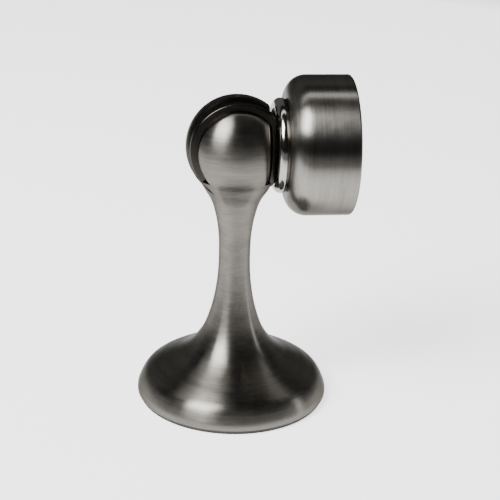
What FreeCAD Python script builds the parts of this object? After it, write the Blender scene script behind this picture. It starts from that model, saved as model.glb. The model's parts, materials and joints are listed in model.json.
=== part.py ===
import FreeCAD, Part
import math
import os

# Floor door holder: a trumpet stand with a slotted ball head, and a magnet cup that tilts in it.
# Millimetres. Origin on the floor under the stem, +Z up, the magnet cup looks along +X.
# The tongue's slot lies off the ball's centre, towards -Y.

# ---- stand ----
base_radius = 24.0
gasket_thickness = 0.8
rim_height = 0.9
waist_radius = 3.9
waist_height = 38.5
pin_height = 65.5
ball_radius = 12.4
ball_join_angle = 41.5
rim_wall = 4.0
roof_wall = 3.12
boss_roof_wall = 4.68
plate_top_gap = 0.3

# ---- slot in the ball, and the tongue that turns in it ----
tongue_thickness = 4.0
tongue_offset = 3.4
tongue_radius = 11.7
slot_side_gap = 0.3
slot_floor_gap = 0.3
slot_ledge_drop = 7.3
ball_flat = 7.5
ball_flat_drop = 10.2
root_wall = 0.7
root_depth = 1.5
root_shift = 2.6
cheek_round = 1.3
flat_round = 3.0
tongue_edge = 0.35
web_half_height = 6.6

# ---- pivot ----
pin_radius = 2.0
pin_running_gap = 0.05
pin_front_skin = 2.0
pin_head_radius = 3.6
pin_head_height = 2.4
pin_head_depth = 4.6
hex_key = 2.5
hex_depth = 1.4
cap_gap = 0.1
washer_radius = 5.0
washer_running_gap = 0.05

# ---- floor fixing ----
plate_thickness = 3.4
plate_edge_gap = 0.5
stud_radius = 3.0
stud_length = 13.0
stud_chamfer = 0.6
plate_chamfer = 0.4
boss_radius = 6.5
screw_pcd = 28.0
screw_count = 3
screw_hole_radius = 2.2
screw_sink_radius = 4.2
gasket_width = 2.9
gasket_inset = 0.6
grub_radius = 1.25
grub_length = 3.2
grub_key = 1.3
grub_height = 2.4

# ---- magnet cup ----
cup_radius = 17.0
cup_rear = 11.5
cup_front = 27.25
cup_corner = 5.0
cup_wall = 1.8
cup_floor = 2.5
rim_round = 0.6
seat_gap = 0.3
foot_radius = 8.6
foot_lip = 0.4
foot_start = 9.15
foot_lip_length = 0.45
spigot_radius = 8.0
bead_centre = 10.3
bead_ring_radius = 9.8
bead_round = 1.7
foot_end_gap = 0.1
spigot_gap = 0.05

# ---- inside the cup ----
clamp_thickness = 1.4
clamp_radius = 12.5
clamp_chamfer = 1.0
tongue_screw_radius = 1.25
tongue_screw_spacing = 9.0
tongue_screw_length = 8.5
tongue_screw_head = 2.4
tongue_screw_key = 1.5
tongue_screw_key_depth = 0.8
retainer_thickness = 1.0
retainer_depth = 0.7
retainer_inner = 13.4
retainer_setback = 2.05
retainer_mouth = 9.0
bumper_setback = 0.15
carrier_gap = 0.3
carrier_rest_gap = 0.1
carrier_flange = 2.2
carrier_floor = 2.0
carrier_wall = 0.8
pot_proud = 0.4
pot_wall = 1.5
pot_floor = 1.8
magnet_thickness = 4.0
magnet_gap = 1.0
magnet_recess = 0.15
magnet_chamfer = 0.3
carrier_screw_radius = 1.5
carrier_screw_head = 2.9
carrier_screw_head_height = 1.8
carrier_screw_chamfer = 0.4
carrier_screw_key_depth = 1.0
carrier_boss_radius = 4.0
carrier_boss_length = 1.2
magnet_bore = 3.2
buffer_radius = 9.4
buffer_width = 3.4
buffer_land = 0.7
buffer_groove = 1.4

# ---- places that follow from the sizes above ----
up = FreeCAD.Vector(0, 0, 1)
along_x = FreeCAD.Vector(1, 0, 0)
along_y = FreeCAD.Vector(0, 1, 0)
pin_centre = FreeCAD.Vector(0, 0, pin_height)
tongue_front = -tongue_offset - tongue_thickness / 2
tongue_rear = -tongue_offset + tongue_thickness / 2
slot_front = tongue_front - slot_side_gap
slot_rear = tongue_rear + slot_side_gap
slot_floor_radius = tongue_radius + slot_floor_gap
bore_radius = cup_radius - cup_wall
cup_floor_front = cup_rear + cup_floor
clamp_front = cup_floor_front + clamp_thickness
retainer_front = cup_front - retainer_setback + retainer_thickness
retainer_rear = cup_front - retainer_setback
pot_front = cup_front + pot_proud
flange_front = retainer_rear - carrier_rest_gap
flange_rear = flange_front - carrier_flange
carrier_bore = retainer_inner - carrier_gap
pot_radius = carrier_bore - carrier_wall
pot_rear = pot_front - magnet_recess - magnet_thickness - pot_floor
carrier_rear = pot_rear - carrier_floor
magnet_radius = pot_radius - pot_wall - magnet_gap
full = 360.0
cut_past = 1.0
hollow_radius = base_radius - rim_wall
plate_radius = hollow_radius - plate_edge_gap
stud_top = gasket_thickness + stud_length
pin_end = pin_front_skin - ball_radius
pin_seat = ball_radius - pin_head_depth


def point(across, height):
    """Return a point of a half section, which lies in the XZ plane."""
    return FreeCAD.Vector(across, 0, height)


def lines(*corners):
    """Join corners with straight edges."""
    return [Part.LineSegment(a, b).toShape() for a, b in zip(corners, corners[1:])]


def turned(edges, origin, axis):
    """Turn a closed set of edges about an axis into a solid."""
    face = Part.Face(Part.Wire(edges))
    solid = face.revolve(origin, axis, full)
    return solid.Solids[0] if solid.Solids else Part.Solid(solid)


def turned_upright(*corners):
    """Turn a straight-sided (radius, height) section about the stem's axis."""
    section = [point(*c) for c in corners]
    return turned(lines(*section, section[0]), FreeCAD.Vector(), up)


def turned_on_cup(*corners):
    """Turn a straight-sided (x, radius) section about the cup's axis."""
    section = [FreeCAD.Vector(x, 0, pin_height + r) for x, r in corners]
    return turned(lines(*section, section[0]), pin_centre, along_x)


def pin_cylinder(radius, y_from, y_to):
    """Make a cylinder on the pivot axis between two y places."""
    start = FreeCAD.Vector(0, y_from, pin_height)
    return Part.makeCylinder(radius, y_to - y_from, start, along_y)


def hex_socket(across_flats, depth, mouth, inward):
    """Make a hexagonal socket that goes inward from its mouth."""
    corner = across_flats / math.sqrt(3)
    side = inward.cross(up) if abs(inward.z) < 0.5 else along_x
    other = inward.cross(side)
    ring = []
    for step in range(7):
        angle = math.radians(60 * step)
        ring.append(mouth + side * (corner * math.cos(angle)) + other * (corner * math.sin(angle)))
    return Part.Face(Part.makePolygon(ring)).extrude(inward * depth)


def save(name, shape):
    """Write one piece, which may be a group of separate solids."""
    shape.exportStep("parts/" + name + ".step")
    print(name, len(shape.Solids), "solid(s)", round(shape.Volume, 1), "mm3", shape.isValid())


# The trumpet's outline, as shares of its reach (rim to waist) and of its rise.
flare_shares = [(0.97, 0.055), (0.9, 0.12), (0.776, 0.169), (0.627, 0.212), (0.478, 0.257),
                (0.353, 0.309), (0.199, 0.418), (0.1, 0.556), (0.027, 0.744)]
neck_shares = [(0.0, 0.0), (0.05, 0.29), (0.19, 0.52), (0.395, 0.71), (0.69, 0.86)]


def flare_point(share):
    """Return a point of the flare from its shares of reach and rise."""
    foot_top = gasket_thickness + rim_height
    return point(waist_radius + share[0] * (base_radius - waist_radius),
                 foot_top + share[1] * (waist_height - foot_top))


def stand_outline():
    """Outline of the trumpet: flare, waist and neck as one curve, then the ball as an arc."""
    join = math.radians(ball_join_angle)
    join_radius = ball_radius * math.cos(join)
    join_height = pin_height - ball_radius * math.sin(join)
    stations = [point(base_radius, gasket_thickness + rim_height)]
    stations += [flare_point(share) for share in flare_shares]
    stations += [point(waist_radius + a * (join_radius - waist_radius),
                       waist_height + b * (join_height - waist_height)) for a, b in neck_shares]
    stations.append(point(join_radius, join_height))
    curve = Part.BSplineCurve()
    curve.interpolate(stations, InitialTangent=up,
                      FinalTangent=FreeCAD.Vector(math.sin(join), 0, math.cos(join)))
    half = (math.pi / 2 - join) / 2
    middle = point(ball_radius * math.cos(half), pin_height + ball_radius * math.sin(half))
    ball = Part.Arc(point(join_radius, join_height), middle, point(0, pin_height + ball_radius))
    return curve.toShape(), ball.toShape()


def trumpet():
    """Solid trumpet and ball before anything is cut."""
    curve, ball = stand_outline()
    base = lines(point(0, pin_height + ball_radius), point(0, gasket_thickness),
                 point(base_radius, gasket_thickness),
                 point(base_radius, gasket_thickness + rim_height))
    return turned(base + [curve, ball], FreeCAD.Vector(), up)


def underside_hollow():
    """Hollow under the base, with the stud's boss left standing."""
    low = gasket_thickness - cut_past
    roof = [(hollow_radius, plate_thickness + plate_top_gap)]
    for share in flare_shares[2:6]:
        outer = flare_point(share)
        roof.append((outer.x, outer.z - roof_wall))
    boss_top = flare_point(flare_shares[6]).z - boss_roof_wall
    corners = [(0, low), (hollow_radius, low)] + roof
    corners += [(boss_radius, boss_top), (boss_radius, plate_thickness), (0, plate_thickness)]
    return turned_upright(*corners)


def slot_cutter():
    """Space for the tongue: round at the stem, open above it."""
    reach = ball_radius + cut_past
    corner = FreeCAD.Vector(-reach, slot_front, pin_height - slot_ledge_drop)
    open_top = Part.makeBox(2 * reach, slot_rear - slot_front, reach + slot_ledge_drop, corner)
    return pin_cylinder(slot_floor_radius, slot_front, slot_rear).fuse(open_top)


def flat_cutter():
    """Flat on the cup's side of the ball, which stops above the neck."""
    reach = ball_radius + cut_past
    corner = FreeCAD.Vector(ball_flat, -reach, pin_height - ball_flat_drop)
    return Part.makeBox(reach, 2 * reach, reach + ball_flat_drop, corner)


def edge_rounder(face_distance, rounding, side):
    """Ring that rounds the edge where a flat face cuts the ball.

    A positive rounding is for metal between the face and the ball's centre, a negative one for
    metal beyond the face.
    """
    size = abs(rounding)
    out = face_distance - rounding
    radius = math.sqrt((ball_radius - size) ** 2 - out ** 2)
    grow = ball_radius / (ball_radius - size)
    face_turn = math.copysign(math.pi / 2, rounding)
    middle_turn = (math.atan2(out, radius) + face_turn) / 2
    past = face_distance + math.copysign(0.3, rounding)
    reach = ball_radius + cut_past

    def place(along, away):
        return pin_centre + side * along + up * away

    touch = place(out * grow, radius * grow)
    middle = place(out + size * math.sin(middle_turn), radius + size * math.cos(middle_turn))
    face_end = place(face_distance, radius)
    edges = [Part.Arc(touch, middle, face_end).toShape()]
    edges += lines(face_end, place(past, radius), place(past, reach), place(out * grow, reach), touch)
    return turned(edges, pin_centre, side)


def cheek_root():
    """Thicker root under the slot, which joins the front cheek to the neck."""
    radius = slot_floor_radius + root_wall
    drum = pin_cylinder(radius, slot_front - root_depth, slot_rear)
    corner = FreeCAD.Vector(-radius, -radius, pin_height - radius)
    low = Part.makeBox(2 * radius, 2 * radius, radius - slot_ledge_drop, corner)
    forward = trumpet()
    forward.translate(-along_y * root_shift)
    return drum.common(low).common(forward)


def round_front_cheek(body):
    """Round the front cheek along the slot and along the flat."""
    reach = 2 * ball_radius
    floor_corner = FreeCAD.Vector(-reach, -reach, pin_height - slot_ledge_drop)
    above = Part.makeBox(2 * reach, reach + slot_front + 0.5, reach, floor_corner)
    slot_ring = edge_rounder(-slot_front, -cheek_round, -along_y)
    flat_ring = edge_rounder(ball_flat, flat_round, along_x)
    body = body.cut(slot_ring.common(above))
    return body.cut(flat_ring.common(above))


def make_stand_casting():
    """Trumpet stand, with its slot, flat, bores and hollow underside."""
    body = trumpet().fuse(cheek_root()).cut(slot_cutter()).cut(flat_cutter())
    body = round_front_cheek(body)
    body = body.cut(underside_hollow())
    body = body.cut(Part.makeCylinder(stud_radius, stud_top + cut_past, FreeCAD.Vector()))
    body = body.cut(pin_cylinder(pin_radius, pin_end, ball_radius))
    body = body.cut(pin_cylinder(pin_head_radius, pin_seat, ball_radius + cut_past))
    grub_start = FreeCAD.Vector(0, plate_radius, grub_height)
    return body.cut(Part.makeCylinder(grub_radius, rim_wall + 2 * cut_past, grub_start, along_y))


def make_floor_plate():
    """Round plate that is screwed to the floor and carries the stud."""
    plate = turned_upright((stud_radius, 0), (plate_radius, 0), (plate_radius, plate_thickness - plate_chamfer),
                           (plate_radius - plate_chamfer, plate_thickness), (stud_radius, plate_thickness))
    for step in range(screw_count):
        angle = 2 * math.pi * step / screw_count
        centre = FreeCAD.Vector(math.cos(angle), math.sin(angle), 0) * (screw_pcd / 2)
        hole = Part.makeCylinder(screw_hole_radius, plate_thickness, centre)
        depth = screw_sink_radius - screw_hole_radius
        sink = Part.makeCone(screw_hole_radius, screw_sink_radius, depth,
                             centre + up * (plate_thickness - depth))
        plate = plate.cut(hole).cut(sink)
    return plate


def make_plate_stud():
    """Headless stud that joins the plate to the stand."""
    start = stud_chamfer
    return turned_upright((0, start), (stud_radius, start), (stud_radius, stud_top - stud_chamfer),
                          (stud_radius - stud_chamfer, stud_top), (0, stud_top))


def make_floor_gasket():
    """Thin soft ring under the rim."""
    outer = base_radius - gasket_inset
    inner = outer - gasket_width
    return turned_upright((inner, 0), (outer, 0), (outer, gasket_thickness), (inner, gasket_thickness))


def make_lock_grub_screw():
    """Grub screw through the rim, which bears on the plate's edge."""
    start = FreeCAD.Vector(0, plate_radius, grub_height)
    grub = Part.makeCylinder(grub_radius, grub_length, start, along_y)
    mouth = start + along_y * grub_length
    return grub.cut(hex_socket(grub_key, grub_key, mouth, -along_y))


def make_pivot_screw():
    """Pivot pin with a socket head sunk in the rear of the ball."""
    pin = pin_cylinder(pin_radius, pin_end, pin_seat)
    pin = pin.fuse(pin_cylinder(pin_head_radius, pin_seat, pin_seat + pin_head_height))
    mouth = pin_centre + along_y * (pin_seat + pin_head_height)
    return pin.cut(hex_socket(hex_key, hex_depth, mouth, -along_y))


def make_pivot_cap():
    """Plug that closes the pin's hole, flush with the ball."""
    plug = pin_cylinder(pin_head_radius, pin_seat + pin_head_height + cap_gap, ball_radius + cut_past)
    return plug.common(Part.makeSphere(ball_radius, pin_centre))


def make_washer(y_from, y_to):
    """Thin washer round the pin."""
    return pin_cylinder(washer_radius, y_from, y_to).cut(pin_cylinder(pin_radius, y_from, y_to))


def make_hinge_tongue():
    """Round tongue, its web, and the foot that carries the cup."""
    end = cup_floor_front - foot_end_gap
    lip_end = foot_start + foot_lip_length
    lip_radius = foot_radius + foot_lip
    foot = turned_on_cup((foot_start, 0), (foot_start, lip_radius), (lip_end, lip_radius),
                         (lip_end, foot_radius), (cup_rear, foot_radius), (cup_rear, spigot_radius),
                         (end, spigot_radius), (end, 0))
    web_start = FreeCAD.Vector(0, tongue_front, pin_height - web_half_height)
    web = Part.makeBox(end, tongue_thickness, 2 * web_half_height, web_start)
    outer_web = web.common(foot)
    inner_web = Part.makeBox(foot_start, tongue_thickness, 2 * web_half_height, web_start)
    seat = Part.makeSphere(ball_radius + seat_gap, pin_centre)
    disc = pin_cylinder(tongue_radius, tongue_front, tongue_rear)
    disc = disc.makeChamfer(tongue_edge, [e for e in disc.Edges if e.BoundBox.YLength < 0.01])
    body = foot.cut(seat).fuse(outer_web).fuse(inner_web).fuse(disc)
    body = body.cut(pin_cylinder(pin_radius + pin_running_gap, tongue_front, tongue_rear))
    for hole in tongue_screw_shanks():
        body = body.cut(hole)
    return body.removeSplitter()


def tongue_screw_places():
    """Places of the two screws on the clamp plate's front face."""
    return [FreeCAD.Vector(clamp_front, -tongue_offset, pin_height + side * tongue_screw_spacing / 2)
            for side in (-1, 1)]


def tongue_screw_shanks():
    """Shanks of the two screws, from the clamp plate into the web."""
    return [Part.makeCylinder(tongue_screw_radius, tongue_screw_length, place, -along_x)
            for place in tongue_screw_places()]


def make_tongue_screws():
    """Two countersunk screws, as one group."""
    screws = []
    for place, shank in zip(tongue_screw_places(), tongue_screw_shanks()):
        depth = tongue_screw_head - tongue_screw_radius
        head = Part.makeCone(tongue_screw_head, tongue_screw_radius, depth, place, -along_x)
        socket = hex_socket(tongue_screw_key, tongue_screw_key_depth, place, -along_x)
        screws.append(shank.fuse(head).cut(socket).removeSplitter())
    return Part.makeCompound(screws)


def make_bead_ring():
    """Half-round polished ring between the tongue's foot and the cup."""
    def place(x, radius):
        return pin_centre + along_x * x + up * radius

    lip_radius = foot_radius + foot_lip
    lip_end = foot_start + foot_lip_length
    half_width = cup_rear - bead_centre
    rear_radius = bead_ring_radius + math.sqrt(bead_round ** 2 - half_width ** 2)
    front_x = bead_centre - math.sqrt(bead_round ** 2 - (bead_ring_radius - lip_radius) ** 2)
    arc = Part.Arc(place(cup_rear, rear_radius), place(bead_centre - bead_round * math.sin(0.6),
                   bead_ring_radius + bead_round * math.cos(0.6)), place(front_x, lip_radius))
    edges = [arc.toShape()]
    edges += lines(place(front_x, lip_radius), place(lip_end, lip_radius), place(lip_end, foot_radius),
                   place(cup_rear, foot_radius), place(cup_rear, rear_radius))
    return turned(edges, pin_centre, along_x)


def make_cup_shell():
    """Drum-shaped cup with a rounded rear corner and a groove for the retaining ring."""
    def place(x, radius):
        return pin_centre + along_x * x + up * radius

    bend = math.sqrt(0.5)
    hole = spigot_radius + spigot_gap
    corner_radius = cup_radius - cup_corner
    rear_arc = Part.Arc(place(cup_rear, corner_radius),
                        place(cup_rear + cup_corner * (1 - bend), corner_radius + cup_corner * bend),
                        place(cup_rear + cup_corner, cup_radius)).toShape()
    rim_x = cup_front - rim_round
    rim_arc = Part.Arc(place(rim_x, cup_radius),
                       place(rim_x + rim_round * bend, cup_radius - rim_round * (1 - bend)),
                       place(cup_front, cup_radius - rim_round)).toShape()
    inner_corner = cup_corner - cup_wall
    inner_arc = Part.Arc(place(cup_floor_front + inner_corner, bore_radius),
                         place(cup_floor_front + inner_corner * (1 - bend),
                               bore_radius - inner_corner * (1 - bend)),
                         place(cup_floor_front, bore_radius - inner_corner)).toShape()
    edges = lines(place(cup_rear, hole), place(cup_rear, corner_radius)) + [rear_arc]
    edges += lines(place(cup_rear + cup_corner, cup_radius), place(rim_x, cup_radius)) + [rim_arc]
    edges += lines(place(cup_front, cup_radius - rim_round), place(cup_front, bore_radius),
                   place(cup_floor_front + inner_corner, bore_radius)) + [inner_arc]
    edges += lines(place(cup_floor_front, bore_radius - inner_corner), place(cup_floor_front, hole),
                   place(cup_rear, hole))
    groove = turned_on_cup((retainer_rear, bore_radius - cut_past), (retainer_rear, bore_radius + retainer_depth),
                           (retainer_front, bore_radius + retainer_depth), (retainer_front, bore_radius - cut_past))
    return turned(edges, pin_centre, along_x).cut(groove)


def make_clamp_plate():
    """Plate inside the cup that clamps its floor to the tongue's foot."""
    plate = turned_on_cup((cup_floor_front, 0), (cup_floor_front, clamp_radius - clamp_chamfer),
                          (cup_floor_front + clamp_chamfer, clamp_radius), (clamp_front, clamp_radius), (clamp_front, 0))
    for place, shank in zip(tongue_screw_places(), tongue_screw_shanks()):
        depth = tongue_screw_head - tongue_screw_radius
        sink = Part.makeCone(tongue_screw_head, tongue_screw_radius, depth, place, -along_x)
        plate = plate.cut(shank).cut(sink)
    return plate


def make_retaining_ring():
    """Open spring ring in the cup's groove."""
    outer = bore_radius + retainer_depth
    ring = turned_on_cup((retainer_rear, retainer_inner), (retainer_rear, outer),
                         (retainer_front, outer), (retainer_front, retainer_inner))
    corner = FreeCAD.Vector(retainer_rear, -retainer_mouth / 2, pin_height - outer)
    return ring.cut(Part.makeBox(retainer_thickness, retainer_mouth, outer, corner))


def make_rim_bumper():
    """Soft ring in front of the retaining ring."""
    front = cup_front - bumper_setback
    return turned_on_cup((retainer_front, retainer_inner), (retainer_front, bore_radius),
                         (front, bore_radius), (front, retainer_inner))


def make_magnet_carrier():
    """Plastic piston that holds the magnet and slides in the cup."""
    flange = bore_radius - carrier_gap
    front = pot_front - 2 * magnet_recess
    boss_rear = carrier_rear - carrier_boss_length
    bore = carrier_screw_radius
    return turned_on_cup((boss_rear, bore), (boss_rear, carrier_boss_radius),
                         (carrier_rear, carrier_boss_radius), (carrier_rear, carrier_bore),
                         (flange_rear, carrier_bore), (flange_rear, flange), (flange_front, flange),
                         (flange_front, carrier_bore), (front, carrier_bore), (front, pot_radius),
                         (pot_rear, pot_radius), (pot_rear, bore))


def make_magnet_pot():
    """Steel pot round the magnet, whose rim is one pole."""
    floor = pot_rear + pot_floor
    edge = magnet_chamfer
    inner = pot_radius - pot_wall
    return turned_on_cup((pot_rear, carrier_screw_radius), (pot_rear, pot_radius),
                         (pot_front - edge, pot_radius), (pot_front, pot_radius - edge),
                         (pot_front, inner), (floor, inner), (floor, carrier_screw_radius))


def make_ring_magnet():
    """Ring magnet in the pot."""
    rear = pot_rear + pot_floor
    front = rear + magnet_thickness
    edge = magnet_chamfer
    return turned_on_cup((rear, magnet_bore), (rear, magnet_radius), (front - edge, magnet_radius),
                         (front, magnet_radius - edge), (front, magnet_bore + edge), (front - edge, magnet_bore))


def make_pot_spacer():
    """Resin ring that keeps the magnet central in the pot."""
    rear = pot_rear + pot_floor
    front = rear + magnet_thickness - magnet_recess
    return turned_on_cup((rear, magnet_radius), (rear, pot_radius - pot_wall),
                         (front, pot_radius - pot_wall), (front, magnet_radius))


def make_carrier_screw():
    """Screw through the magnet's bore, which holds the pot in the carrier."""
    seat = pot_rear + pot_floor
    tip = carrier_rear - carrier_boss_length
    top = seat + carrier_screw_head_height
    screw = turned_on_cup((tip, 0), (tip, carrier_screw_radius), (seat, carrier_screw_radius),
                          (seat, carrier_screw_head),
                          (top - carrier_screw_chamfer, carrier_screw_head),
                          (top, carrier_screw_head - carrier_screw_chamfer), (top, 0))
    return screw.cut(hex_socket(hex_key, carrier_screw_key_depth, pin_centre + along_x * top, -along_x))


def make_buffer_ring():
    """Soft ring with a grooved side, between the clamp plate and the carrier."""
    rear = clamp_front
    front = carrier_rear
    middle = (rear + front) / 2
    inner = buffer_radius - buffer_width
    return turned_on_cup((rear, inner), (rear, buffer_radius), (rear + buffer_land, buffer_radius),
                         (middle, buffer_radius - buffer_groove), (front - buffer_land, buffer_radius),
                         (front, buffer_radius), (front, inner), (middle, inner + buffer_groove / 2))


def main():
    """Build and write every piece."""
    os.makedirs("parts", exist_ok=True)
    save("stand_casting", make_stand_casting())
    save("floor_plate", make_floor_plate())
    save("plate_stud", make_plate_stud())
    save("floor_gasket", make_floor_gasket())
    save("lock_grub_screw", make_lock_grub_screw())
    save("pivot_screw", make_pivot_screw())
    save("pivot_cap", make_pivot_cap())
    save("front_washer", make_washer(slot_front, tongue_front - washer_running_gap))
    save("rear_washer", make_washer(tongue_rear + washer_running_gap, slot_rear))
    save("hinge_tongue", make_hinge_tongue())
    save("bead_ring", make_bead_ring())
    save("cup_shell", make_cup_shell())
    save("clamp_plate", make_clamp_plate())
    save("tongue_screws", make_tongue_screws())
    save("retaining_ring", make_retaining_ring())
    save("rim_bumper", make_rim_bumper())
    save("magnet_carrier", make_magnet_carrier())
    save("magnet_pot", make_magnet_pot())
    save("ring_magnet", make_ring_magnet())
    save("pot_spacer", make_pot_spacer())
    save("carrier_screw", make_carrier_screw())
    save("buffer_ring", make_buffer_ring())


main()
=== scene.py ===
import json
import math
import bmesh
import bpy
from mathutils import Matrix, Vector


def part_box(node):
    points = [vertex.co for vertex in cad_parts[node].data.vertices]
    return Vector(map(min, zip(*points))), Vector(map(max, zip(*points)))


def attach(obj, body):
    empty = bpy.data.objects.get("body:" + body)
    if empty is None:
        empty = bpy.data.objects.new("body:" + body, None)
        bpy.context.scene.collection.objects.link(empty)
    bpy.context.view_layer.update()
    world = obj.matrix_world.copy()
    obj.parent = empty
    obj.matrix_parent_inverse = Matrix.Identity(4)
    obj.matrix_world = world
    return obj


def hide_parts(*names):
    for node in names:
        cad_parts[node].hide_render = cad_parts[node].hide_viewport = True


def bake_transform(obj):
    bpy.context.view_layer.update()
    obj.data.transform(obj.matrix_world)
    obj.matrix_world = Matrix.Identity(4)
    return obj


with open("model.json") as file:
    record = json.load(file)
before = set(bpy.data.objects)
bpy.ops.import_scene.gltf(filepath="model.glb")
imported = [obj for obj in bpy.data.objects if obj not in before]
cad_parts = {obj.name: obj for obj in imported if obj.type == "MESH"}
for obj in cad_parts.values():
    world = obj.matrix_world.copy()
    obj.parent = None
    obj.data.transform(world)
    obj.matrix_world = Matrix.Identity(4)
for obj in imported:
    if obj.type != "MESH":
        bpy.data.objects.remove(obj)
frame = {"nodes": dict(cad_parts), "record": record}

mm = 0.001
poleRadius = 0.0001  # mm, below which a ring becomes one point
meshing = dict(bevelAngle=50, normalWeight=60)
# in the dictionaries, sides are counted round a whole turn, and steps along one arc, curve or edge
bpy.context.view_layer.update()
joints = {joint["name"]: joint for joint in frame["record"]["behaviour"]["joints"]}
pinCentre = Vector(joints["head_tilt"]["pos_m"])
pinHeight = pinCentre.z / mm
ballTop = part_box("stand_casting")[1][2] / mm
ballRadius = ballTop - pinHeight
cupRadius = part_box("cup_shell")[1][1] / mm
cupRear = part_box("cup_shell")[0][0] / mm
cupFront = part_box("cup_shell")[1][0] / mm
alongX, alongY, alongZ = Vector((1, 0, 0)), Vector((0, 1, 0)), Vector((0, 0, 1))
print("frame loaded, pin height", round(pinHeight, 2), "ball radius", round(ballRadius, 2))


def rounded(corners, steps):
    # corners are (along, radius) or (along, radius, rounding); a rounding becomes a short arc
    outline = []
    for index, corner in enumerate(corners):
        here = Vector(corner[:2])
        rounding = corner[2] if len(corner) > 2 else 0
        if not rounding:
            outline.append(here)
            continue
        before = (Vector(corners[index - 1][:2]) - here).normalized()
        after = (Vector(corners[(index + 1) % len(corners)][:2]) - here).normalized()
        half = before.angle(after) / 2
        centre = here + (before + after).normalized() * (rounding / math.sin(half))
        start = here + before * (rounding / math.tan(half)) - centre
        end = here + after * (rounding / math.tan(half)) - centre
        spread = start.angle(end)
        for step in range(steps + 1):
            share = step / steps
            a = math.sin((1 - share) * spread) / math.sin(spread)
            b = math.sin(share * spread) / math.sin(spread)
            outline.append(centre + start * a + end * b)
    return outline


def smoothThrough(points, startWay, endWay, steps):
    # a curve through points, with its directions at both ends given
    points = [Vector(p) for p in points]
    ways = []
    for index, here in enumerate(points):
        if index == 0:
            ways.append(Vector(startWay).normalized())
        elif index == len(points) - 1:
            ways.append(Vector(endWay).normalized())
        else:
            before, after = here - points[index - 1], points[index + 1] - here
            pull = before.normalized() * after.length + after.normalized() * before.length
            ways.append(pull.normalized())
    outline = []
    for index in range(len(points) - 1):
        a, b = points[index], points[index + 1]
        span = (b - a).length
        for step in range(steps):
            t = step / steps
            outline.append(a * (2 * t**3 - 3 * t**2 + 1) + ways[index] * span * (t**3 - 2 * t**2 + t)
                           + b * (3 * t**2 - 2 * t**3) + ways[index + 1] * span * (t**3 - t**2))
    return outline + [points[-1]]


def smoothEdges(piece, degrees=32):
    for face in piece.data.polygons:
        face.use_smooth = True
    limit = math.radians(degrees)
    shape = bmesh.new()
    shape.from_mesh(piece.data)
    for edge in shape.edges:
        edge.smooth = len(edge.link_faces) == 2 and edge.calc_face_angle(0) < limit
    shape.to_mesh(piece.data)
    shape.free()


def addPiece(name, shape):
    mesh = bpy.data.meshes.new(name)
    shape.to_mesh(mesh)
    shape.free()
    piece = bpy.data.objects.new(name, mesh)
    bpy.context.collection.objects.link(piece)
    return piece


def turnedPiece(name, outline, centre, along, steps, closed=True):
    # turns an outline of (along, radius) in mm about an axis; the piece's own Z is that axis
    shape = bmesh.new()
    rings = []
    for place, radius in outline:
        if radius < poleRadius:
            pole = shape.verts.new((0, 0, place * mm))
            rings.append([pole] * steps)
            continue
        ring = []
        for step in range(steps):
            angle = 2 * math.pi * step / steps
            ring.append(shape.verts.new((radius * mm * math.cos(angle), radius * mm * math.sin(angle),
                                         place * mm)))
        rings.append(ring)
    pairs = list(zip(rings, rings[1:]))
    if closed:
        pairs.append((rings[-1], rings[0]))
    for low, high in pairs:
        for step in range(steps):
            after = (step + 1) % steps
            corners = []
            for vert in (low[step], low[after], high[after], high[step]):
                if vert not in corners:
                    corners.append(vert)
            if len(corners) > 2:
                shape.faces.new(corners)
    bmesh.ops.recalc_face_normals(shape, faces=shape.faces)
    piece = addPiece(name, shape)
    turn = alongZ.rotation_difference(Vector(along)).to_matrix().to_4x4()
    piece.matrix_world = Matrix.Translation(Vector(centre)) @ turn
    smoothEdges(piece)
    return piece


def blockPiece(name, low, high, bevel=0.0):
    # a box between two corners in mm, with an optional small bevel
    shape = bmesh.new()
    bmesh.ops.create_cube(shape, size=1)
    low, high = Vector(low) * mm, Vector(high) * mm
    for vert in shape.verts:
        vert.co = Vector([low[i] if vert.co[i] < 0 else high[i] for i in range(3)])
    if bevel:
        bmesh.ops.bevel(shape, geom=shape.edges[:], offset=bevel * mm, segments=3, affect="EDGES",
                        profile=0.5)
    return addPiece(name, shape)


def carve(piece, cutters, operation="DIFFERENCE"):
    # applies one exact boolean for each cutter and then drops the cutters
    for cutter in cutters:
        step = piece.modifiers.new("carve", "BOOLEAN")
        step.operation = operation
        step.solver = "EXACT"
        step.object = cutter
    bpy.context.view_layer.update()
    seen = piece.evaluated_get(bpy.context.evaluated_depsgraph_get())
    mesh = bpy.data.meshes.new_from_object(seen)
    piece.modifiers.clear()
    piece.data = mesh
    for cutter in cutters:
        bpy.data.objects.remove(cutter)
    return piece


def finishMesh(piece, degrees, bevel):
    # a small bevel on sharp edges, then smooth shading
    step = piece.modifiers.new("edge", "BEVEL")
    step.width = bevel * mm
    step.segments = 2
    step.limit_method = "ANGLE"
    step.angle_limit = math.radians(meshing["bevelAngle"])
    smoothEdges(piece, degrees)
    weight = piece.modifiers.new("normals", "WEIGHTED_NORMAL")
    weight.keep_sharp = True
    weight.weight = meshing["normalWeight"]


class Link:
    # a socket whose values can be added, multiplied and so on

    def __init__(self, maker, socket):
        self.maker = maker
        self.socket = socket

    def maths(self, operation, other, flipped=False):
        first, second = (other, self) if flipped else (self, other)
        return self.maker.node("ShaderNodeMath", {"operation": operation}, {0: first, 1: second})

    def __add__(self, other):
        return self.maths("ADD", other)

    def __radd__(self, other):
        return self.maths("ADD", other)

    def __sub__(self, other):
        return self.maths("SUBTRACT", other)

    def __rsub__(self, other):
        return self.maths("SUBTRACT", other, True)

    def __mul__(self, other):
        return self.maths("MULTIPLY", other)

    def __rmul__(self, other):
        return self.maths("MULTIPLY", other)

    def __pow__(self, other):
        return self.maths("POWER", other)


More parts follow.
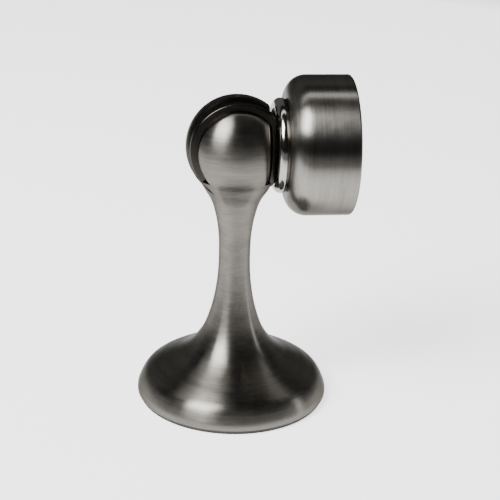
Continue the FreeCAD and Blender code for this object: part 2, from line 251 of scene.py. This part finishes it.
class Maker:
    # builds one material's nodes

    def __init__(self, name):
        self.material = bpy.data.materials.new(name)
        self.material.use_nodes = True
        self.tree = self.material.node_tree
        self.tree.nodes.clear()

    def node(self, kind, settings=None, sockets=None, output=0):
        made = self.tree.nodes.new(kind)
        for key, value in (settings or {}).items():
            setattr(made, key, value)
        for key, value in (sockets or {}).items():
            if isinstance(value, Link):
                self.tree.links.new(value.socket, made.inputs[key])
            else:
                made.inputs[key].default_value = value
        return Link(self, made.outputs[output]) if len(made.outputs) else None

    def noise(self, scale, vector, detail=3.0, rough=0.55, w=None):
        sockets = {"Scale": scale, "Detail": detail, "Roughness": rough, "Vector": vector}
        if w is None:
            return self.node("ShaderNodeTexNoise", {}, sockets)
        return self.node("ShaderNodeTexNoise", {"noise_dimensions": "4D"}, {**sockets, "W": w})

    def remap(self, value, low, high):
        return self.node("ShaderNodeMapRange", {}, {"Value": value, "From Min": low, "From Max": high})

    def blend(self, share, first, second):
        return self.node("ShaderNodeMix", {"data_type": "RGBA"},
                         {0: share, 6: (*first, 1), 7: (*second, 1)}, 2)

    def place(self):
        # a place in the piece's own space, in metres
        return self.node("ShaderNodeTexCoord", {}, {}, "Object")

    def parts(self, place):
        return [self.node("ShaderNodeSeparateXYZ", {}, {0: place}, part) for part in "XYZ"]

    def surface(self, sockets):
        shader = self.node("ShaderNodeBsdfPrincipled", {}, sockets)
        self.node("ShaderNodeOutputMaterial", {}, {"Surface": shader})
        return self.material

    def bump(self, height, strength, distance):
        return self.node("ShaderNodeBump", {}, {"Height": height, "Strength": strength,
                                                "Distance": distance * mm})


# how much each layer of noise counts in the tone, the roughness and the relief of a surface; a pair
# is a noise's detail and its own roughness
brushing = dict(lineNoise=(4.0, 0.7), broadNoise=(2.0, 0.5), mottleNoise=(5.0, 0.6), speckNoise=(2.0, 0.5),
                broadStreak=0.4, broadLines=0.16, lineTone=0.5, broadTone=0.3, mottleTone=0.2, toneFrom=0.36,
                toneTo=0.64, speckScale=3800.0, speckFrom=0.70, speckTo=0.78, mottleRough=0.08,
                speckRough=0.12, broadHeight=0.35, speckHeight=0.6, acrossLines=0.25)


def turnedMetal(name, look):
    # metal finished on a lathe: fine lines run round the piece's own Z axis
    maker = Maker(name)
    place = maker.place()
    x, y, z = maker.parts(place)
    radius = (x * x + y * y) ** 0.5
    angle = maker.node("ShaderNodeMath", {"operation": "ARCTAN2"}, {0: y, 1: x})
    cosine = maker.node("ShaderNodeMath", {"operation": "COSINE"}, {0: angle})
    sine = maker.node("ShaderNodeMath", {"operation": "SINE"}, {0: angle})

    def ringNoise(streak, density, detail, rough):
        # noise that is drawn out round the axis
        space = maker.node("ShaderNodeCombineXYZ", {},
                           {0: cosine * streak, 1: sine * streak, 2: z * density})
        return maker.noise(1.0, space, detail, rough, radius * density)

    lines = ringNoise(look["streak"], look["lines"], *brushing["lineNoise"])
    broad = ringNoise(look["streak"] * brushing["broadStreak"], look["lines"] * brushing["broadLines"],
                      *brushing["broadNoise"])
    mottle = maker.noise(look["mottle"], place, *brushing["mottleNoise"])
    speck = maker.noise(brushing["speckScale"], place, *brushing["speckNoise"])
    specks = maker.remap(speck, brushing["speckFrom"], brushing["speckTo"])
    tone = lines * brushing["lineTone"] + broad * brushing["broadTone"] + mottle * brushing["mottleTone"]
    colour = maker.blend(maker.remap(tone, brushing["toneFrom"], brushing["toneTo"]), look["dark"],
                         look["light"])
    rough = look["roughness"] + (lines - 0.5) * look["roughSpread"]
    rough = rough + (mottle - 0.5) * brushing["mottleRough"] + specks * brushing["speckRough"]
    height = lines + broad * brushing["broadHeight"] - specks * brushing["speckHeight"]
    return maker.surface({"Base Color": colour, "Metallic": 1.0, "Roughness": rough,
                          "Anisotropic": look["anisotropic"],
                          "Anisotropic Rotation": brushing["acrossLines"],
                          "Specular Tint": (*[look["edgeTint"]] * 3, 1),
                          "Normal": maker.bump(height, look["bump"], look["depth"])})


moulding = dict(grainNoise=(3.0, 0.6), cloudNoise=(3.0, 0.5),
                cloudScale=120.0, cloudFrom=0.3, cloudTo=0.7, grainRough=0.2, cloudRough=0.1, bump=0.35)


def grainedPlastic(name, look):
    # moulded plastic or rubber with a fine grain
    maker = Maker(name)
    place = maker.place()
    grain = maker.noise(look["grain"], place, *moulding["grainNoise"])
    cloud = maker.noise(moulding["cloudScale"], place, *moulding["cloudNoise"])
    colour = maker.blend(maker.remap(cloud, moulding["cloudFrom"], moulding["cloudTo"]), look["dark"],
                         look["light"])
    rough = look["roughness"] + (grain - 0.5) * moulding["grainRough"]
    rough = rough + (cloud - 0.5) * moulding["cloudRough"]
    return maker.surface({"Base Color": colour, "Roughness": rough,
                          "Normal": maker.bump(grain, moulding["bump"], look["depth"])})


plating = dict(grainNoise=(5.0, 0.65), patchNoise=(3.0, 0.5),
               patchScale=180.0, grainTone=0.6, patchTone=0.4, toneFrom=0.35, toneTo=0.65, grainRough=0.25,
               patchRough=0.12, bump=0.25)


def dullMetal(name, look):
    # plated, blackened or sintered metal with a crystalline mottle and rubbed patches
    maker = Maker(name)
    place = maker.place()
    grain = maker.noise(look["grain"], place, *plating["grainNoise"])
    patch = maker.noise(plating["patchScale"], place, *plating["patchNoise"])
    tone = grain * plating["grainTone"] + patch * plating["patchTone"]
    colour = maker.blend(maker.remap(tone, plating["toneFrom"], plating["toneTo"]), look["dark"],
                         look["light"])
    rough = look["roughness"] + (grain - 0.5) * plating["grainRough"] + (patch - 0.5) * plating["patchRough"]
    return maker.surface({"Base Color": colour, "Metallic": look["metallic"], "Roughness": rough,
                          "Normal": maker.bump(grain, plating["bump"], look["depth"])})


# lines, mottle and grain are in cycles for each metre, and depth is in mm
finishes = {
    # the satin tones are painted darker for the stand: painted shade; the cup's copy below is lighter
    "satin": dict(dark=(0.105, 0.099, 0.090), light=(0.165, 0.157, 0.143), roughness=0.31, roughSpread=0.12,
                  anisotropic=0.84, lines=2600.0, streak=2.2, mottle=420.0, bump=0.16, depth=0.03,
                  edgeTint=0.35),
    # the dark finish is dark nickel, its tone lowered to near-black as painted shade for the tongue down in
    # the slot
    "dark": dict(dark=(0.030, 0.028, 0.025), light=(0.065, 0.061, 0.055), roughness=0.26, roughSpread=0.10,
                 anisotropic=0.5, lines=2200.0, streak=2.0, mottle=500.0, bump=0.12, depth=0.03,
                 edgeTint=0.4),
    "polished": dict(dark=(0.27, 0.26, 0.24), light=(0.36, 0.35, 0.325), roughness=0.13, roughSpread=0.05,
                     anisotropic=0.2, lines=1800.0, streak=2.0, mottle=600.0, bump=0.05, depth=0.02,
                     edgeTint=0.6),
}
# lit and shaded copies of one satin nickel: the stand's copy is painted darker as painted shade, the cup's
# copy is the lighter one
shadedSatinNickel = turnedMetal("shadedSatinNickel", finishes["satin"])
litSatinNickel = turnedMetal("litSatinNickel", {**finishes["satin"], "streak": 1.6, "lines": 2200.0,
                                      "dark": (0.150, 0.143, 0.130), "light": (0.220, 0.210, 0.193)})
darkNickelPaintedShade = turnedMetal("darkNickelPaintedShade", finishes["dark"])
polishedNickel = turnedMetal("polishedNickel", finishes["polished"])
zincSteel = dullMetal("zincSteel", dict(dark=(0.40, 0.41, 0.43), light=(0.58, 0.59, 0.61), roughness=0.36,
                                        metallic=1.0, grain=1500.0, depth=0.02))
blackSteel = dullMetal("blackSteel", dict(dark=(0.02, 0.02, 0.022), light=(0.07, 0.07, 0.075),
                                          roughness=0.42, metallic=0.9, grain=1800.0, depth=0.02))
magnetGrey = dullMetal("magnetGrey", dict(dark=(0.05, 0.05, 0.053), light=(0.13, 0.13, 0.135), roughness=0.5,
                                          metallic=0.7, grain=2600.0, depth=0.03))
softRubber = grainedPlastic("softRubber", dict(dark=(0.012, 0.012, 0.012), light=(0.032, 0.031, 0.03),
                                               roughness=0.68, grain=2500.0, depth=0.03))
blackPlastic = grainedPlastic("blackPlastic", dict(dark=(0.014, 0.014, 0.015), light=(0.035, 0.035, 0.037),
                                                   roughness=0.42, grain=1800.0, depth=0.02))
whiteNylon = grainedPlastic("whiteNylon", dict(dark=(0.66, 0.65, 0.60), light=(0.80, 0.79, 0.75),
                                               roughness=0.45, grain=1400.0, depth=0.01))
print("materials made")


def settle(piece, material, body, slot, *nodes):
    # gives a piece its material and its body, and hides the CAD nodes that it stands for
    piece.data.materials.clear()
    piece.data.materials.append(material)
    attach(piece, body)
    if nodes:
        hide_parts(*nodes)


# mm, measured from the floor, or from the pin's centre for the slot, the flat and the pin's seat
stand = dict(sides=160, pinSides=64, curveSteps=8, ballSteps=60, smoothAngle=30,
             baseRadius=24.0, bottom=0.8, rimTop=1.7, waistRadius=3.9, waistHeight=38.5, joinAngle=41.5,
             slotFront=-5.7, slotRear=-1.1, slotFloor=12.0, ledgeDrop=7.3, flat=7.5, flatDrop=10.2,
             cheekRound=1.3, flatRound=3.0, edgeBevel=0.16, pinHole=3.6, pinSeat=7.8,
             swell=0.05, swellHeight=56.8, swellSpread=3.2)
underside = dict(radius=20.0, inset=0.5, sideRise=4.0, domeRadius=9.0, domeRise=8.5, bossRadius=6.5,
                 roofRise=4.4, edge=0.35)
grub = dict(sides=40, height=2.4, radius=1.25, start=19.0, end=26.0)
cutting = dict(arcSteps=12, ringSides=120, slotSteps=48,
               past=1.0, ringPast=0.3, slotOverlap=0.25, ledgeLift=0.01, reach=30.0, seam=0.02)
# the outline's stations, as shares of reach and rise: rim to waist, then waist to ball
flareShares = [(0.97, 0.055), (0.9, 0.12), (0.776, 0.169), (0.627, 0.212), (0.478, 0.257),
               (0.353, 0.309), (0.199, 0.418), (0.1, 0.556), (0.027, 0.744)]
neckShares = [(0.0, 0.0), (0.05, 0.29), (0.19, 0.52), (0.395, 0.71), (0.69, 0.86)]


def flarePoint(share):
    reach = stand["baseRadius"] - stand["waistRadius"]
    rise = stand["waistHeight"] - stand["rimTop"]
    return (stand["rimTop"] + share[1] * rise, stand["waistRadius"] + share[0] * reach)


def standOutline():
    join = math.radians(stand["joinAngle"])
    joinRadius = ballRadius * math.cos(join)
    joinHeight = pinHeight - ballRadius * math.sin(join)
    stations = [(stand["rimTop"], stand["baseRadius"])] + [flarePoint(share) for share in flareShares]
    stations += [(stand["waistHeight"] + b * (joinHeight - stand["waistHeight"]),
                  stand["waistRadius"] + a * (joinRadius - stand["waistRadius"])) for a, b in neckShares]
    stations.append((joinHeight, joinRadius))
    curve = smoothThrough(stations, (1, 0), (math.cos(join), math.sin(join)), stand["curveSteps"])
    ball = []
    for step in range(1, stand["ballSteps"] + 1):
        angle = -join + (math.pi / 2 + join) * step / stand["ballSteps"]
        ball.append((pinHeight + ballRadius * math.sin(angle), ballRadius * math.cos(angle)))
    return curve, ball


def edgeRounder(name, faceDistance, rounding, side):
    # a ring that rounds the edge where a flat face cuts the ball; a negative rounding is for metal
    # beyond the face
    size = abs(rounding)
    out = faceDistance - rounding
    radius = math.sqrt((ballRadius - size) ** 2 - out ** 2)
    grow = ballRadius / (ballRadius - size)
    faceTurn = math.copysign(math.pi / 2, rounding)
    touchTurn = math.atan2(out, radius)
    outline = []
    for step in range(cutting["arcSteps"] + 1):
        turn = touchTurn + (faceTurn - touchTurn) * step / cutting["arcSteps"]
        outline.append((out + size * math.sin(turn), radius + size * math.cos(turn)))
    past = faceDistance + math.copysign(cutting["ringPast"], rounding)
    reach = ballRadius + cutting["past"]
    outer = out * grow - math.copysign(cutting["seam"], rounding)
    outline += [(past, radius), (past, reach), (outer, reach)]
    ring = turnedPiece(name, outline, pinCentre, side, cutting["ringSides"])
    # only the front cheek above the ledges is rounded
    far = cutting["reach"]
    low = (-far, -far, pinHeight - stand["ledgeDrop"] + cutting["ledgeLift"])
    high = (far, stand["slotFront"] + cutting["slotOverlap"], pinHeight + far)
    return carve(ring, [blockPiece(name + "Keep", low, high)], "INTERSECT")


def slotPiece(reach):
    # the tongue's space: round at the stem, open above the ledges
    drop, floor = stand["ledgeDrop"], stand["slotFloor"]
    half = math.acos(drop / floor)
    outline = [(-reach, reach), (-reach, -drop)]
    for step in range(cutting["slotSteps"] + 1):
        turn = -half + 2 * half * step / cutting["slotSteps"]
        outline.append((floor * math.sin(turn), -floor * math.cos(turn)))
    outline += [(reach, -drop), (reach, reach)]
    shape = bmesh.new()
    front, rear = [[shape.verts.new((x * mm, y * mm, (pinHeight + z) * mm)) for x, z in outline]
                   for y in (stand["slotFront"], stand["slotRear"])]
    shape.faces.new(front)
    shape.faces.new(rear[::-1])
    for index, vert in enumerate(front):
        shape.faces.new((vert, rear[index], rear[index - 1], front[index - 1]))
    bmesh.ops.recalc_face_normals(shape, faces=shape.faces)
    return addPiece("slot", shape)


def fillBesideSlot(piece):
    # the neck is a little squarer where the slot's floor runs through it
    for vert in piece.data.vertices:
        x, y, z = vert.co
        if y < 0 and z > stand["rimTop"] * mm:
            turn = math.atan2(y, x)
            swell = math.exp(-(((z / mm) - stand["swellHeight"]) / stand["swellSpread"]) ** 2)
            grow = 1 + stand["swell"] * swell * math.sin(2 * turn) ** 2
            vert.co = (x * grow, y * grow, z)


def makeStand():
    curve, ball = standOutline()
    bottom = stand["bottom"]
    roof = bottom + underside["roofRise"]
    hollow = [(roof, 0.0), (roof, underside["bossRadius"]),
              (bottom + underside["domeRise"], underside["domeRadius"]),
              (bottom + underside["sideRise"], underside["radius"] - underside["inset"]),
              (bottom, underside["radius"])]
    edge = underside["edge"]
    rim = [(bottom, stand["baseRadius"] - edge), (bottom + edge, stand["baseRadius"])]
    outline = hollow + rim + curve + ball
    body = turnedPiece("standBody", outline, (0, 0, 0), alongZ, stand["sides"], False)
    fillBesideSlot(body)
    reach = ballRadius + cutting["past"]
    flat = blockPiece("flatCut", (stand["flat"], -reach, pinHeight - stand["flatDrop"]),
                      (reach, reach, pinHeight + reach))
    pinHole = turnedPiece("pinHole", [(stand["pinSeat"], 0), (stand["pinSeat"], stand["pinHole"]),
                                      (reach, stand["pinHole"]), (reach, 0)], pinCentre, alongY,
                          stand["pinSides"], False)
    grubHole = turnedPiece("grubHole", [(grub["start"], 0), (grub["start"], grub["radius"]),
                                        (grub["end"], grub["radius"]), (grub["end"], 0)],
                           (0, 0, grub["height"] * mm), alongY, grub["sides"], False)
    carve(body, [slotPiece(reach), flat, pinHole, grubHole])
    cheekRing = edgeRounder("cheekRing", -stand["slotFront"], -stand["cheekRound"], -alongY)
    flatRing = edgeRounder("flatRing", stand["flat"], stand["flatRound"], alongX)
    carve(body, [cheekRing, flatRing])
    finishMesh(body, stand["smoothAngle"], stand["edgeBevel"])
    settle(body, shadedSatinNickel, "stand", "satin_nickel", "stand_casting")


makeStand()
print("stand made")


# mm from the pin's centre: along Y for the disc's two faces, along X for the foot, bead and cup
tongue = dict(discSides=160, footSides=128, edgeSteps=4, seatSteps=12, smoothAngle=40,
              front=-5.4, rear=-1.4, radius=11.7, edge=0.35, bore=2.05, boreEdge=0.15, webHalf=6.6,
              webStart=7.0, webEnd=11.0, webInset=0.02, webEdge=0.3, footStart=9.15, lipRadius=9.0,
              lipEnd=9.6, footRadius=8.6, spigotRadius=8.0, footEnd=13.9, seat=12.7, seatMouth=8.83,
              seatRadius=8.81)
bead = dict(sides=160, steps=32, centre=10.3, ringRadius=9.8, round=1.7, rear=11.5, bore=8.62, gap=0.02)
cup = dict(sides=192, edgeSteps=12, corner=5.0, wall=1.8, floor=2.5, hole=8.05, rimRound=0.6,
           mouthRound=0.25, grooveDepth=0.7, grooveRear=25.2, grooveFront=26.2)


def makeTongue():
    edge = tongue["edge"]
    disc = turnedPiece("tongueDisc", rounded([(tongue["front"], tongue["bore"], tongue["boreEdge"]),
                                              (tongue["front"], tongue["radius"], edge),
                                              (tongue["rear"], tongue["radius"], edge),
                                              (tongue["rear"], tongue["bore"], tongue["boreEdge"])],
                                              tongue["edgeSteps"]),
                       pinCentre, alongY, tongue["discSides"])
    smoothEdges(disc, tongue["smoothAngle"])
    settle(disc, darkNickelPaintedShade, "head", "dark_nickel", "hinge_tongue")
    inset = tongue["webInset"]
    low = (tongue["webStart"], tongue["front"] + inset, pinHeight - tongue["webHalf"])
    high = (tongue["webEnd"], tongue["rear"] - inset, pinHeight + tongue["webHalf"])
    web = blockPiece("tongueWeb", low, high, tongue["webEdge"])
    settle(web, darkNickelPaintedShade, "head", "dark_nickel")
    seat = []
    for step in range(tongue["seatSteps"] + 1):
        radius = tongue["seatRadius"] * (tongue["seatSteps"] - step) / tongue["seatSteps"]
        seat.append((math.sqrt(tongue["seat"] ** 2 - radius ** 2), radius))
    outline = [(tongue["footEnd"], 0.0), (tongue["footEnd"], tongue["spigotRadius"]),
               (cupRear, tongue["spigotRadius"]), (cupRear, tongue["footRadius"]),
               (tongue["lipEnd"], tongue["footRadius"]), (tongue["lipEnd"], tongue["lipRadius"]),
               (tongue["footStart"], tongue["lipRadius"]), (tongue["footStart"], tongue["seatMouth"])] + seat
    foot = turnedPiece("tongueFoot", outline, pinCentre, alongX, tongue["footSides"], False)
    settle(foot, darkNickelPaintedShade, "head", "dark_nickel")


def makeBead():
    outline = []
    halfWidth = bead["rear"] - bead["centre"]
    startTurn = math.acos(halfWidth / bead["round"])
    endTurn = math.pi + math.asin((bead["ringRadius"] - tongue["lipRadius"]) / bead["round"])
    for step in range(bead["steps"] + 1):
        turn = startTurn + (endTurn - startTurn) * step / bead["steps"]
        outline.append((bead["centre"] + bead["round"] * math.cos(turn),
                        bead["ringRadius"] + bead["round"] * math.sin(turn)))
    lipEnd = tongue["lipEnd"] + bead["gap"]
    outline += [(lipEnd, tongue["lipRadius"] + bead["gap"]), (lipEnd, bead["bore"]),
                (bead["rear"], bead["bore"])]
    piece = turnedPiece("beadRing", outline, pinCentre, alongX, bead["sides"])
    settle(piece, polishedNickel, "head", "polished_nickel", "bead_ring")


def makeCup():
    bore = cupRadius - cup["wall"]
    floorFront = cupRear + cup["floor"]
    outline = rounded([(cupRear, cup["hole"]), (cupRear, cupRadius, cup["corner"]),
                       (cupFront, cupRadius, cup["rimRound"]), (cupFront, bore, cup["mouthRound"]),
                       (cup["grooveFront"], bore), (cup["grooveFront"], bore + cup["grooveDepth"]),
                       (cup["grooveRear"], bore + cup["grooveDepth"]), (cup["grooveRear"], bore),
                       (floorFront, bore, cup["corner"] - cup["wall"]), (floorFront, cup["hole"])],
                      cup["edgeSteps"])
    piece = turnedPiece("cupShell", outline, pinCentre, alongX, cup["sides"])
    settle(piece, litSatinNickel, "head", "satin_nickel", "cup_shell")


makeTongue()
makeBead()
makeCup()
print("head made")


# mm along the cup's axis from the pin's centre, and radii about that axis
insert = dict(sides=144, magnetSides=128, edgeSteps=5, carrierSteps=4,
              front=27.65, boreRadius=12.3, carrierRadius=13.1, flangeRadius=14.9, flangeRear=22.9,
              flangeFront=25.1, rear=19.7, bossRear=18.5, bossRadius=4.0, screwRadius=1.5, potRear=21.7,
              potFloor=1.8, potWall=1.5, magnetLength=4.0, magnetRadius=9.8, magnetBore=3.2, recess=0.15,
              edge=0.3, smallEdge=0.2, innerEdge=0.15, seatEdge=0.1)


def makeInsert():
    front = insert["front"]
    edge, smallEdge = insert["edge"], insert["smallEdge"]
    potRear, screwRadius = insert["potRear"], insert["screwRadius"]
    carrierRadius, boreRadius = insert["carrierRadius"], insert["boreRadius"]
    carrierFront = front - 2 * insert["recess"]
    carrier = rounded([(insert["bossRear"], screwRadius), (insert["bossRear"], insert["bossRadius"], edge),
                       (insert["rear"], insert["bossRadius"]), (insert["rear"], carrierRadius, edge),
                       (insert["flangeRear"], carrierRadius),
                       (insert["flangeRear"], insert["flangeRadius"], edge),
                       (insert["flangeFront"], insert["flangeRadius"], smallEdge),
                       (insert["flangeFront"], carrierRadius), (carrierFront, carrierRadius, smallEdge),
                       (carrierFront, boreRadius, insert["seatEdge"]), (potRear, boreRadius),
                       (potRear, screwRadius)], insert["carrierSteps"])
    piece = turnedPiece("magnetCarrier", carrier, pinCentre, alongX, insert["sides"])
    settle(piece, blackPlastic, "magnet_insert", "black_plastic", "magnet_carrier")
    floor = potRear + insert["potFloor"]
    potInner = boreRadius - insert["potWall"]
    pot = rounded([(potRear, screwRadius), (potRear, boreRadius, edge), (front, boreRadius, edge),
                   (front, potInner, insert["innerEdge"]), (floor, potInner), (floor, screwRadius)],
                  insert["edgeSteps"])
    piece = turnedPiece("magnetPot", pot, pinCentre, alongX, insert["sides"])
    settle(piece, zincSteel, "magnet_insert", "zinc_steel", "magnet_pot")
    magnetFront = floor + insert["magnetLength"]
    magnet = rounded([(floor, insert["magnetBore"]), (floor, insert["magnetRadius"]),
                      (magnetFront, insert["magnetRadius"], edge),
                      (magnetFront, insert["magnetBore"], edge)], insert["edgeSteps"])
    piece = turnedPiece("ringMagnet", magnet, pinCentre, alongX, insert["magnetSides"])
    settle(piece, magnetGrey, "magnet_insert", "magnet_grey", "ring_magnet")


buffer = dict(sides=120, edgeSteps=5, radius=9.4, inner=6.0, land=0.7, groove=1.4, innerGroove=0.7,
              edge=0.2, grooveEdge=0.4)


def makeBuffer():
    # a soft ring that is pressed flat between the clamp plate and the carrier
    rear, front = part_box("buffer_ring")[0][0] / mm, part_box("buffer_ring")[1][0] / mm
    middle = (rear + front) / 2
    inner, radius = buffer["inner"], buffer["radius"]
    land, edge, grooveEdge = buffer["land"], buffer["edge"], buffer["grooveEdge"]
    outline = rounded([(rear, inner, edge), (rear, radius, edge), (rear + land, radius, edge),
                       (middle, radius - buffer["groove"], grooveEdge), (front - land, radius, edge),
                       (front, radius, edge), (front, inner, edge),
                       (middle, inner + buffer["innerGroove"], grooveEdge)], buffer["edgeSteps"])
    piece = turnedPiece("bufferRing", outline, pinCentre, alongX, buffer["sides"])
    piece.data.materials.append(softRubber)
    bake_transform(piece)
    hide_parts("buffer_ring")


makeInsert()
makeBuffer()
print("magnet insert made")


# pieces that keep their CAD meshes
kept = {
    "floor_plate": zincSteel, "plate_stud": zincSteel, "floor_gasket": softRubber,
    "lock_grub_screw": blackSteel, "pivot_screw": zincSteel, "pivot_cap": shadedSatinNickel,
    "front_washer": whiteNylon, "rear_washer": whiteNylon, "clamp_plate": zincSteel,
    "tongue_screws": zincSteel, "retaining_ring": blackSteel, "rim_bumper": softRubber,
    "pot_spacer": blackPlastic, "carrier_screw": zincSteel,
}
for node, material in kept.items():
    shown = frame["nodes"][node]
    shown.data.materials.clear()
    shown.data.materials.append(material)
print("CAD pieces finished")


# metres; the floor's colour and glow are painted light: it is painted bright in a pool round the object and
# glows though it is no lamp; outside is how pale the floor stays beyond its bright pool, the share of that
# painted light left there
studio = dict(paintedGlow=2.2, worldGrey=0.02, floorHalf=2.6, poolCentre=0.25, poolInner=0.35, poolOuter=0.48,
              outside=0.10, wallStart=1.1, wallHeight=2.2, bend=0.5, bendSteps=16,
              floorColour=(0.88, 0.88, 0.88), floorRoughness=0.9, cloudScale=3.0, cloudReach=0.04)


def makeFloor():
    # one pale sheet: flat under the object, then curved up behind it
    outline = [(-studio["floorHalf"], 0.0), (studio["wallStart"], 0.0)]
    for step in range(1, studio["bendSteps"] + 1):
        turn = math.pi / 2 * step / studio["bendSteps"]
        outline.append((studio["wallStart"] + studio["bend"] * math.sin(turn),
                        studio["bend"] * (1 - math.cos(turn))))
    outline.append((studio["wallStart"] + studio["bend"], studio["wallHeight"]))
    shape = bmesh.new()
    sides = [[shape.verts.new((side * studio["floorHalf"], y, z)) for y, z in outline] for side in (-1, 1)]
    for step in range(len(outline) - 1):
        shape.faces.new((sides[0][step], sides[1][step], sides[1][step + 1], sides[0][step + 1]))
    floor = addPiece("paleFloor", shape)
    for face in floor.data.polygons:
        face.use_smooth = True
    maker = Maker("paleFloorPaintedLight")
    # the floor is painted bright in a pool of light round the object and dim outside it: painted light, and
    # the same colour also glows as painted light
    place = maker.place()
    x, y = maker.parts(place)[:2]
    y = y - studio["poolCentre"]
    away = (x * x + y * y) ** 0.5 + maker.noise(studio["cloudScale"], place) * studio["cloudReach"]
    pale = studio["floorColour"]
    colour = maker.blend(maker.remap(away, studio["poolInner"], studio["poolOuter"]), pale,
                         [share * studio["outside"] for share in pale])
    floorPaintedLight = maker.surface({"Base Color": colour, "Roughness": studio["floorRoughness"],
                           "Emission Color": colour, "Emission Strength": studio["paintedGlow"]})
    floor.data.materials.append(floorPaintedLight)


def addLight(name, place, aim, size, power):
    light = bpy.data.lights.new(name, "AREA")
    light.shape = "RECTANGLE"
    light.size, light.size_y = size
    light.energy = power
    lamp = bpy.data.objects.new(name, light)
    bpy.context.collection.objects.link(lamp)
    lamp.location = place
    lamp.rotation_euler = (Vector(aim) - Vector(place)).to_track_quat("-Z", "Y").to_euler()


lights = dict(
    key=dict(place=(-0.40, -0.31, 0.60), aim=(0, 0, 0.05), size=(0.36, 0.46), power=13.0),
    wall=dict(place=(0.0, 0.25, 1.0), aim=(0, 1.6, 0.2), size=(1.6, 0.5), power=8.0),
    edge=dict(place=(0.75, -0.10, 0.16), aim=(0, 0, 0.05), size=(0.10, 0.40), power=0.5),
)


# metres and degrees; cupTurn is how far the camera stands to the side, away from the cup
lens = dict(focal=93.6, sensor=36, nearest=0.01, distance=0.299, height=0.1565, cupTurn=6.4, yaw=0.73,
            pitch=21.5, roll=1.68)


def makeCamera():
    turn = math.radians(lens["cupTurn"])
    heading = turn + math.radians(lens["yaw"])
    pitch, roll = math.radians(lens["pitch"]), math.radians(lens["roll"])
    level = math.cos(pitch)
    forward = Vector((math.sin(heading) * level, math.cos(heading) * level, -math.sin(pitch)))
    right = Vector((math.cos(heading), -math.sin(heading), 0))
    above = right.cross(forward)
    acrossRolled = right * math.cos(roll) + above * math.sin(roll)
    aboveRolled = above * math.cos(roll) - right * math.sin(roll)
    data = bpy.data.cameras.new("camera")
    data.lens = lens["focal"]
    data.sensor_width = lens["sensor"]
    data.clip_start = lens["nearest"]
    camera = bpy.data.objects.new("camera", data)
    bpy.context.collection.objects.link(camera)
    turnMatrix = Matrix((acrossRolled, aboveRolled, -forward)).transposed().to_4x4()
    spot = Vector((-lens["distance"] * math.sin(turn), -lens["distance"] * math.cos(turn), lens["height"]))
    camera.matrix_world = Matrix.Translation(spot) @ turnMatrix
    bpy.context.scene.camera = camera


makeFloor()
for name, light in lights.items():
    addLight(name, **light)
world = bpy.data.worlds.new("studio")
world.use_nodes = True
world.node_tree.nodes["Background"].inputs["Color"].default_value = (*[studio["worldGrey"]] * 3, 1)
world.node_tree.nodes["Background"].inputs["Strength"].default_value = 1.0
bpy.context.scene.world = world
makeCamera()
print("floor, lights and camera made")
